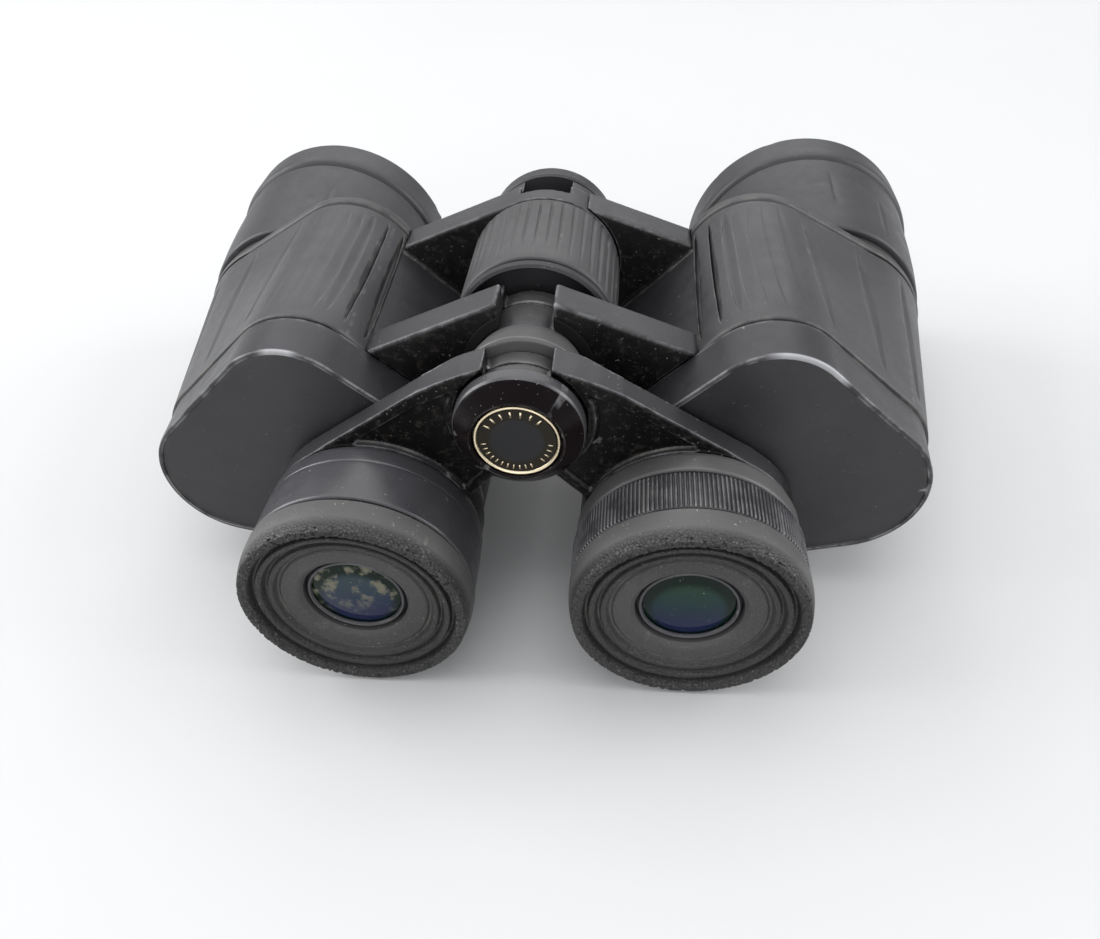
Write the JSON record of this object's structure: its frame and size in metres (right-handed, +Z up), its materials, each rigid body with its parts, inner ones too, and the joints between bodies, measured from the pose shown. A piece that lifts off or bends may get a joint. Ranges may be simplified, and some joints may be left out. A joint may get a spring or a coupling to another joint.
{
  "type": "binoculars",
  "caption": "Black rubber-armoured porro-prism binoculars with a centre focusing wheel, a hinged bridge, folded-down eyecups and wide objective barrels.",
  "frame": {"origin": "centre of the footprint on the table the binoculars lie on: midway between the two barrels and midway between the eyecup faces and the objective rims", "axes": "+X towards the user's right-hand barrel, +Y along the line of sight from the eyecups to the objectives, +Z up"},
  "size_m": [0.1792, 0.129, 0.0649],
  "materials": {
    "casting": "die-cast and painted satin black",
    "armour_rubber": "moulded black rubber, satin",
    "cover_paint": "satin black paint, worn bright on the edges",
    "black_plastic": "black, fine grain",
    "gloss_black": "polished black",
    "grip_rubber": "ribbed black rubber",
    "eyecup_rubber": "aged, cracked black rubber",
    "black_metal": "black anodised",
    "steel": "machined",
    "brass": "machined",
    "gold_ring": "polished gold colour",
    "badge": "dark grey, plain",
    "prism_glass": "clear optical glass",
    "coated_glass": "clear, anti-reflection coated"
  },
  "bodies": {
    "left_barrel": {"left_body": "casting", "left_rear_cover": "cover_paint", "left_armour": "armour_rubber", "left_prism_shelf": "black_metal", "left_rear_prism": "prism_glass", "left_front_prism": "prism_glass", "left_prism_clips": "steel", "left_objective_tube": "black_metal", "left_objective_sleeve": "armour_rubber", "left_objective_cell": "black_metal", "left_objective_retainer": "black_metal", "left_objective_flint": "coated_glass", "left_objective_crown": "coated_glass", "left_eyepiece_guide": "black_metal", "rear_hinge_bush": "brass", "rear_hinge_washer": "black_metal", "front_hinge_pin": "steel", "front_hinge_cap": "black_plastic", "tripod_insert": "brass"},
    "right_barrel": {"right_body": "casting", "right_rear_cover": "cover_paint", "right_armour": "armour_rubber", "right_prism_shelf": "black_metal", "right_rear_prism": "prism_glass", "right_front_prism": "prism_glass", "right_prism_clips": "steel", "right_objective_tube": "black_metal", "right_objective_sleeve": "armour_rubber", "right_objective_cell": "black_metal", "right_objective_retainer": "black_metal", "right_objective_flint": "coated_glass", "right_objective_crown": "coated_glass", "right_eyepiece_guide": "black_metal"},
    "focus_wheel": {"focus_wheel_core": "black_plastic", "focus_wheel_grip": "grip_rubber", "focus_drive_sleeve": "brass"},
    "left_ocular": {"left_ocular_barrel": "black_metal", "left_eyecup": "eyecup_rubber", "left_eye_cell": "black_metal", "left_lens_retainer": "black_plastic", "left_eye_lens": "coated_glass", "left_field_lens": "coated_glass", "left_field_stop": "black_metal", "left_collar_sleeve": "black_plastic", "left_bridge_arm": "casting", "focus_rod": "steel", "bridge_bell": "black_plastic", "bridge_end_cap": "gloss_black", "medallion_ring": "gold_ring", "medallion_disc": "badge"},
    "right_ocular": {"right_ocular_barrel": "black_metal", "right_collar_ring": "black_plastic", "right_bridge_arm": "casting"},
    "right_lens_cell": {"right_eye_cell": "black_metal", "right_lens_retainer": "black_plastic", "right_eye_lens": "coated_glass", "right_field_lens": "coated_glass", "right_field_stop": "black_metal"},
    "dioptre": {"dioptre_ring": "black_plastic", "right_eyecup": "eyecup_rubber"}
  },
  "joints": [
    {"name": "ipd_hinge", "type": "hinge", "parent": "left_barrel", "child": "right_barrel", "pos_m": [0, 0, 0.0487], "axis": [0, 1, 0], "range_deg": [-27.8, 10.2]},
    {"name": "focus_wheel_turn", "type": "hinge", "parent": "left_barrel", "child": "focus_wheel", "pos_m": [0, -0.0025, 0.0487], "axis": [0, 1, 0], "range_deg": [-385, 20]},
    {"name": "left_ocular_slide", "type": "slide", "parent": "left_barrel", "child": "left_ocular", "axis": [0, 1, 0], "range_m": [-0.008, 0.0004]},
    {"name": "right_ocular_slide", "type": "slide", "parent": "right_barrel", "child": "right_ocular", "axis": [0, 1, 0], "range_m": [-0.008, 0.0004]},
    {"name": "dioptre_advance", "type": "slide", "parent": "right_ocular", "child": "right_lens_cell", "axis": [0, 1, 0], "range_m": [-0.00086, 0.00086]},
    {"name": "dioptre_turn", "type": "hinge", "parent": "right_lens_cell", "child": "dioptre", "pos_m": [0.0305, -0.0525, 0.0217], "axis": [0, 1, 0], "range_deg": [-115, 115]}
  ],
  "couplings": [
    {"joint": "focus_wheel_turn", "follows": "left_ocular_slide", "rad_per_m": 837.76},
    {"joint": "right_ocular_slide", "follows": "left_ocular_slide", "ratio": 1},
    {"joint": "dioptre_turn", "follows": "dioptre_advance", "rad_per_m": 2327.1}
  ]
}
